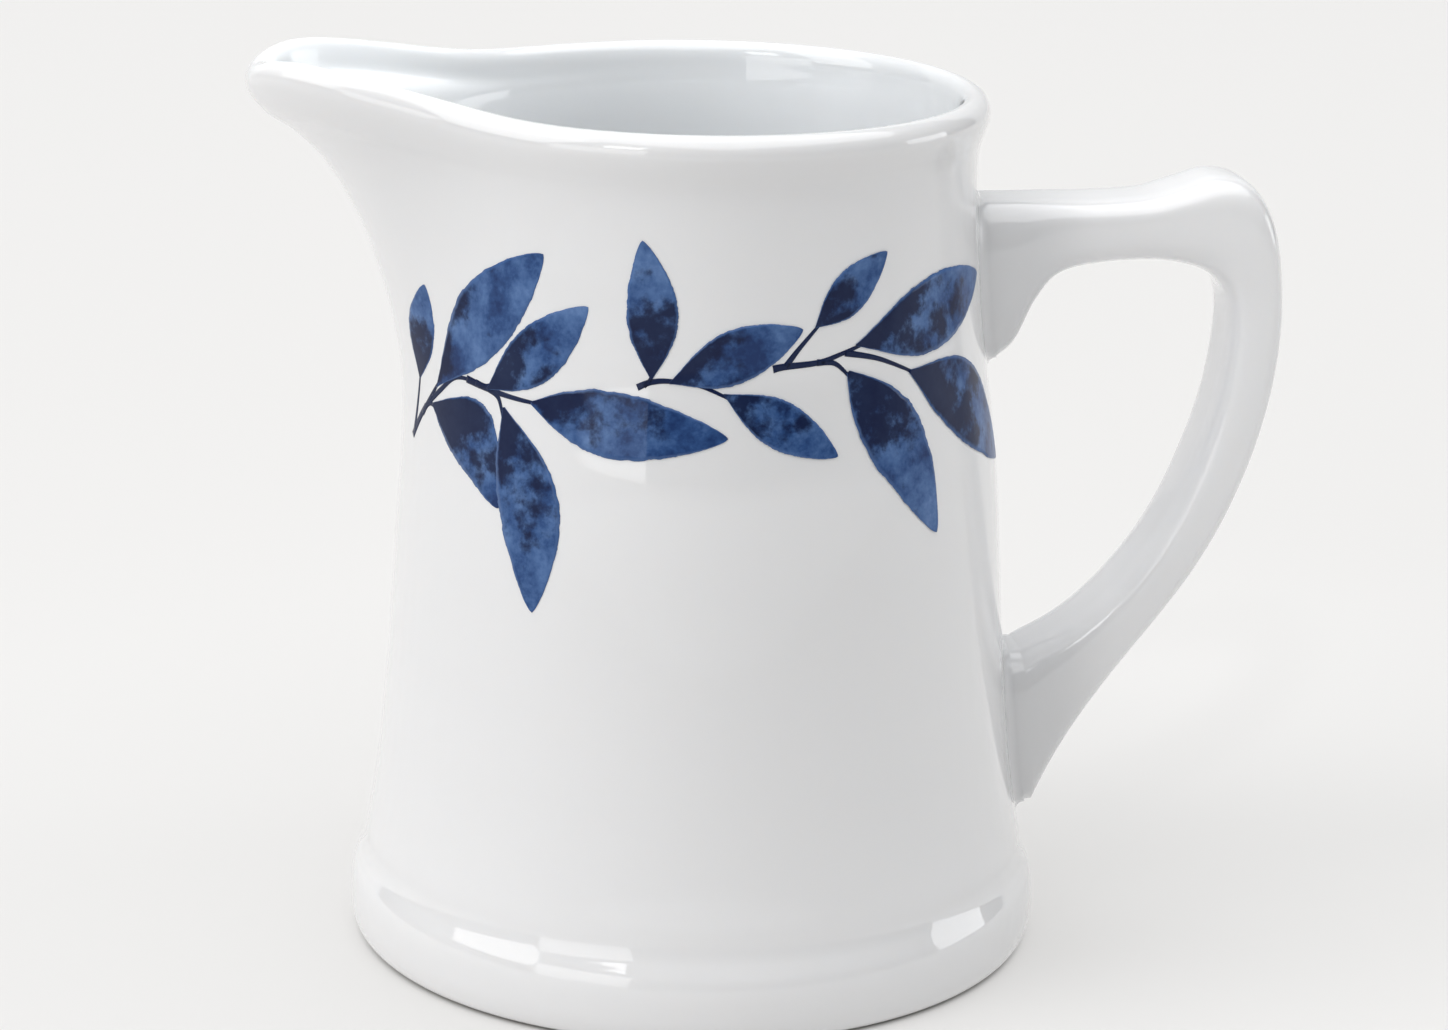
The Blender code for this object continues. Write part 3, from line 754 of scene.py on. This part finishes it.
def leafSprayTree():
    tree, given = newTree("leafSpray", [
        ("Stems", "Object"), ("Wall", "Object"), ("Side", "Float"), ("Axis X", "Float"), ("Wrap Radius", "Float"),
        ("Film", "Float"), ("Sunk", "Float"), ("Layer", "Float"), ("Along", "Int"), ("Across", "Int"),
        ("Root", "Float"), ("Wobble", "Float"), ("Material", "Material"),
    ])
    position = tree.nodes.new("GeometryNodeInputPosition").outputs[0]
    flat = splitXyz(tree, position)
    # one flat leaf, from base to tip along x and from edge to edge along y
    sheet = flatSheet(tree, 2.0, given["Along"], given["Across"])
    blank = store(tree, sheet, "along", calc(tree, "ADD", flat[0], 0.5))
    blank = store(tree, blank, "across", flat[1])
    values = {"Points": given["Geometry"], "Instance": blank}
    copies = addLabelled(tree, "GeometryNodeInstanceOnPoints", values)
    leaves = addNode(tree, "GeometryNodeRealizeInstances", (copies.outputs[0],)).outputs[0]

    # each leaf's own base, tip, width, bend and fullness
    base, tip = named(tree, "leafBase", "FLOAT_VECTOR"), named(tree, "leafTip", "FLOAT_VECTOR")
    along, across, seed = (named(tree, label) for label in ("along", "across", "leafSeed"))
    line = calcVector(tree, "SUBTRACT", tip, base)
    parts = splitXyz(tree, line)
    aside = calcVector(tree, "NORMALIZE", joinXyz(tree, calc(tree, "MULTIPLY", parts[1], -1.0), parts[0], 0.0))
    step = spread(tree, along, 0.0, 1.0, given["Root"], 1.0)
    arch = calc(tree, "SINE", calc(tree, "MULTIPLY", step, math.pi))
    bow = calc(tree, "MULTIPLY", named(tree, "leafBend"), arch)
    swell = calc(tree, "POWER", step, named(tree, "leafFullness"))
    belly = calc(tree, "SINE", calc(tree, "MULTIPLY", swell, math.pi))
    belly = calc(tree, "POWER", belly, spread(tree, step, 0.0, 1.0, *leafRule["bluntness"]))
    half = calc(tree, "MULTIPLY", named(tree, "leafWidth"), belly)
    stretched = calc(tree, "MULTIPLY", along, leafRule["edgeStretch"])
    apart = calc(tree, "MULTIPLY", seed, leafRule["edgeStep"])
    edge = joinXyz(tree, stretched, calc(tree, "SIGN", across), apart)
    shake = noise(tree, edge, leafRule["edgeSize"], *leafRule["edgeGrain"])
    shake = spread(tree, shake, *leafRule["edgeRange"], -1.0, 1.0)
    half = calc(tree, "MULTIPLY", half, calc(tree, "ADD", calc(tree, "MULTIPLY", shake, given["Wobble"]), 0.5))
    aways = calc(tree, "ADD", bow, calc(tree, "MULTIPLY", half, across))
    spot = calcVector(tree, "ADD", base, calcVector(tree, "SCALE", line, step))
    spot = calcVector(tree, "ADD", spot, calcVector(tree, "SCALE", aside, aways))
    height = calc(tree, "MULTIPLY", seed, given["Layer"])
    leaves = moved(tree, leaves, calcVector(tree, "ADD", spot, joinXyz(tree, 0.0, 0.0, height)))

    # stems as tapering ribbons on the same flat sheet
    routes = roundedCurve(tree, shapeOf(tree, given["Stems"]), leafRule["stemSteps"])
    upright = addNode(tree, "GeometryNodeSetCurveNormal", (routes,), mode="Z_UP")
    ends = {"Start": (-1.0, 0.0, 0.0), "End": (1.0, 0.0, 0.0)}
    blade = addLabelled(tree, "GeometryNodeCurvePrimitiveLine", ends).outputs[0]
    values = {"Curve": blade, "Count": leafRule["stemAcross"]}
    cut = addLabelled(tree, "GeometryNodeResampleCurve", values).outputs[0]
    values = {
        "Curve": upright.outputs[0], "Scale": tree.nodes.new("GeometryNodeInputRadius").outputs[0],
        "Profile Curve": store(tree, cut, "across", calc(tree, "MULTIPLY", flat[0], leafRule["stemTone"])),
    }
    ribbon = addLabelled(tree, "GeometryNodeCurveToMesh", values)
    stems = store(tree, ribbon.outputs[0], "leafPool", leafRule["stemPool"])

    # the sheet gets its thickness, then wraps on to the wall
    sheet = joined(tree, leaves, stems)
    values = {
        "Mesh": sheet, "Individual": False, "Offset": (0.0, 0.0, 1.0),
        "Offset Scale": calc(tree, "ADD", given["Film"], given["Sunk"]),
    }
    raised = addLabelled(tree, "GeometryNodeExtrudeMesh", values)
    under = addNode(tree, "GeometryNodeFlipFaces", (sheet,)).outputs[0]
    whole = sewn(tree, joined(tree, raised.outputs[0], under), leafRule["seam"] * mm)
    x, z, rise = flat
    turn = calc(tree, "DIVIDE", x, given["Wrap Radius"])
    outX, outY = calc(tree, "SINE", turn), calc(tree, "MULTIPLY", calc(tree, "COSINE", turn), given["Side"])
    outward = joinXyz(tree, outX, outY, 0.0)
    axis = joinXyz(tree, given["Axis X"], 0.0, z)
    farOut = 0.1  # well outside the wall
    values = {
        "Target Geometry": shapeOf(tree, given["Wall"]),
        "Source Position": calcVector(tree, "ADD", axis, calcVector(tree, "SCALE", outward, farOut)),
        "Ray Direction": calcVector(tree, "SCALE", outward, -1.0), "Ray Length": farOut,
    }
    ray = addLabelled(tree, "GeometryNodeRaycast", values)
    away = calcVector(tree, "SCALE", outward, calc(tree, "SUBTRACT", rise, given["Sunk"]))
    wrapped = moved(tree, whole, calcVector(tree, "ADD", ray.outputs["Hit Position"], away))
    endTree(tree, wrapped, given["Material"])
    return tree


# One vertex for each leaf, with its sizes as attributes
def leafPoints(name, leaves):
    mesh = bpy.data.meshes.new(name)
    mesh.from_pydata([(0, 0, 0)] * len(leaves), [], [])
    labels = ("leafBase", "leafTip", "leafWidth", "leafBend",
              "leafFullness", "leafPool", "leafLean", "leafSeed")
    for column, label in enumerate(labels):
        isPlace = label in ("leafBase", "leafTip")
        layer = mesh.attributes.new(label, "FLOAT_VECTOR" if isPlace else "FLOAT", "POINT")
        for entry, leaf in zip(layer.data, leaves):
            value = leaf[column]
            if isPlace:
                entry.vector = (value[0] * mm, value[1] * mm, 0.0)
            elif label in ("leafWidth", "leafBend"):
                entry.value = value * mm
            else:
                entry.value = value
    return linkNew(name, mesh)


def stemCurves(name, stems):
    data = bpy.data.curves.new(name, "CURVE")
    data.dimensions = "3D"
    for route, width in stems:
        line = data.splines.new("POLY")
        line.points.add(len(route) - 1)
        for k, (point, (x, z)) in enumerate(zip(line.points, route)):
            point.co = (x * mm, z * mm, 0.0, 1.0)
            point.radius = width / 2 * mm * (1 - (1 - leafRule["stemEnd"]) * k / (len(route) - 1))
    return linkNew(name, data)


def makeSprays():
    tree = leafSprayTree()
    for sideName, side in (("front", -1.0), ("back", 1.0)):
        for place, spray in sprays.items():
            name = sideName + place + "Spray"
            stems = stemCurves(name + "Stems", spray["stems"])
            values = {
                "Stems": stems, "Wall": jugBody, "Side": side, "Axis X": axisX,
                "Wrap Radius": leafRule["wrapRadius"] * mm, "Film": leafRule["film"] * mm,
                "Sunk": leafRule["sunk"] * mm, "Layer": leafRule["layer"] * mm, "Along": leafRule["along"],
                "Across": leafRule["across"], "Root": leafRule["root"], "Wobble": leafRule["wobble"],
                "Material": leafBlue,
            }
            piece = growPiece(name, leafPoints(name + "Leaves", spray["leaves"]), tree, values)
            bpy.data.objects.remove(stems)
            faceOutwards(piece)
            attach(piece, "root")
            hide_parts(sideName + "_" + place.lower() + "_sprig")
            print(name, len(piece.data.polygons), "faces")


makeSprays()


studio = {
    "floorSize": 3.0,
    "floorDrop": 0.00003,  # the floor lies this far under the foot, so that the two don't meet
    "floorColour": (0.459, 0.455, 0.449),
    "floorRoughness": 0.9,
    "floorSpecular": 0.1,
    "glowColour": (1.0, 0.988, 0.975),
    "floorGlow": 0.350,
    "farGlow": 0.364,
    "farDistance": 0.7,
    "frontFade": (-0.30, -0.055),  # between these depths the glow falls to the share below
    "frontShare": 0.25,
    # painted contact shadow: the floor's glow fades out near the foot
    "footShade": (0.0362, 0.0378),  # the glow fades out between these radii, close to the foot
    "worldColour": (0.97, 0.985, 1.0),
    "worldStrength": 0.12,
    # name, place, aim, width, height, brightness, spread in degrees, what it does, colour;
    # "all" lights and is reflected, "matt" only lights, and "shine" is only reflected
    "lights": [
        ("windowLeft", (-2.33, -0.62, 1.55), (0, 0, 0.05),
         1.65, 2.1, 2.5, 180, "all", (1.0, 0.992, 0.985)),
        ("windowFront", (-1.70, -1.72, 0.85), (0, 0, 0.05),
         1.1, 1.1, 1.15, 180, "matt", (1.0, 0.992, 0.985)),
        ("windowRight", (2.4, 0.1, 0.75), (0, 0, 0.05),
         0.9, 0.72, 1.9, 180, "matt", (0.98, 0.99, 1.0)),
        ("sideCard", (2.30, 0.10, 0.32), (0, 0, 0.02),
         1.0, 0.62, 2.5, 180, "shine", (0.98, 0.99, 1.0)),
        ("lowCard", (-1.498, -1.693, 0.42), (0, 0, 0.02),
         1.28, 0.82, 1.9, 180, "shine", (1.0, 1.0, 1.0)),
        ("ceilingPanel", (0.1, -0.1, 2.5), (0, 0, 0),
         4.0, 4.0, 1.8, 180, "all", (0.99, 0.995, 1.0)),
        ("backPanel", (0, 2.4, 0.9), (0, 0, 0.9),
         5.5, 2.2, 0.6, 180, "all", (0.99, 0.995, 1.0)),
        ("frontCard", (0.10, -0.66, 0.004), (0.10, -0.66, 1.0),
         1.3, 0.9, 0.25, 180, "all", (0.97, 0.985, 1.0)),
        ("highCard", (-1.093, -1.560, 1.15), (0, 0, 0.05),
         0.5, 0.55, 4.2, 180, "shine", (1.0, 1.0, 1.0)),
        ("handleFill", (-0.08, -0.38, 0.36), (0.052, 0, 0.060),
         0.05, 0.05, 0.09, 6, "matt", (0.98, 0.99, 1.0)),
        ("mouthFill", (-0.005, 0.002, 0.120), (-0.005, 0.031, 0.085),
         0.05, 0.012, 0.36, 120, "matt", (0.97, 0.99, 1.0)),
        ("spoutFill", (-0.044, -0.006, 0.122), (-0.044, 0.010, 0.093),
         0.022, 0.012, 3.2, 120, "matt", (0.97, 0.99, 1.0)),
    ],
}

view = {
    "lens": 99.5,
    "place": (-47.6, -417.9, 169.0),  # from the jug's axis on the table
    "aim": (2.9, 0.0, 46.5),
    "roll": 1.1,
    "sensor": 36.0,
    "clip": (0.01, 20.0),
}


def makeFloor():
    size = studio["floorSize"]
    mesh = bpy.data.meshes.new("paleFloor")
    corners = [(-size, -size, 0), (size, -size, 0), (size, size, 0), (-size, size, 0)]
    mesh.from_pydata(corners, [], [(0, 1, 2, 3)])
    floor = linkNew("paleFloor", mesh)
    floor.location.z = -studio["floorDrop"]
    material, tree, shader = newMaterial("paleFloor")
    values = {
        "Base Color": (*studio["floorColour"], 1.0), "Roughness": studio["floorRoughness"],
        "Specular IOR Level": studio["floorSpecular"], "Emission Color": (*studio["glowColour"], 1.0),
    }
    for label, value in values.items():
        shader.inputs[label].default_value = value
    place = tree.nodes.new("ShaderNodeTexCoord").outputs["Object"]
    depth = splitXyz(tree, place)[1]
    glow = spread(tree, depth, 0.0, studio["farDistance"], studio["floorGlow"], studio["farGlow"])
    before = spread(tree, depth, *studio["frontFade"], studio["frontShare"], 1.0, kind="SMOOTHSTEP")
    glow = calc(tree, "MULTIPLY", glow, before)
    fromAxis = calcVector(tree, "LENGTH", calcVector(tree, "SUBTRACT", place, (axisX, 0.0, 0.0)))
    # painted contact shadow on the floor around the foot
    shade = spread(tree, fromAxis, *studio["footShade"], kind="SMOOTHSTEP")
    feed(tree, shader.inputs["Emission Strength"], calc(tree, "MULTIPLY", glow, shade))
    mesh.materials.append(material)


# Puts a light or the camera in its place, looking at the aim
def aimAt(thing, place, aim, roll=0.0):
    thing.location = place
    thing.rotation_mode = "QUATERNION"
    facing = (aim - place).to_track_quat("-Z", "Y")
    thing.rotation_quaternion = facing @ Quaternion((0, 0, 1), math.radians(roll))


def makeLights():
    world = bpy.data.worlds.new("softRoom")
    bpy.context.scene.world = world
    world.use_nodes = True
    sky = world.node_tree.nodes["Background"]
    sky.inputs["Color"].default_value = (*studio["worldColour"], 1.0)
    sky.inputs["Strength"].default_value = studio["worldStrength"]
    for name, place, aim, width, height, brightness, fan, shows, colour in studio["lights"]:
        data = bpy.data.lights.new(name, "AREA")
        data.shape = "RECTANGLE"
        data.size, data.size_y = width, height
        data.energy = brightness * math.pi * width * height
        data.color = colour
        data.spread = math.radians(fan)
        light = linkNew(name, data)
        aimAt(light, Vector(place), Vector(aim))
        light.visible_camera = False
        light.visible_glossy = shows != "matt"
        light.visible_diffuse = shows != "shine"


def makeCamera():
    data = bpy.data.cameras.new("tableView")
    data.lens = view["lens"]
    data.sensor_width = view["sensor"]
    data.clip_start, data.clip_end = view["clip"]
    camera = linkNew("tableView", data)
    axis = Vector((axisX, 0, 0))
    aimAt(camera, Vector(view["place"]) * mm + axis, Vector(view["aim"]) * mm + axis, view["roll"])
    bpy.context.scene.camera = camera


makeFloor()
makeLights()
makeCamera()
bpy.context.scene.view_settings.view_transform = "Standard"
print("studio ready")
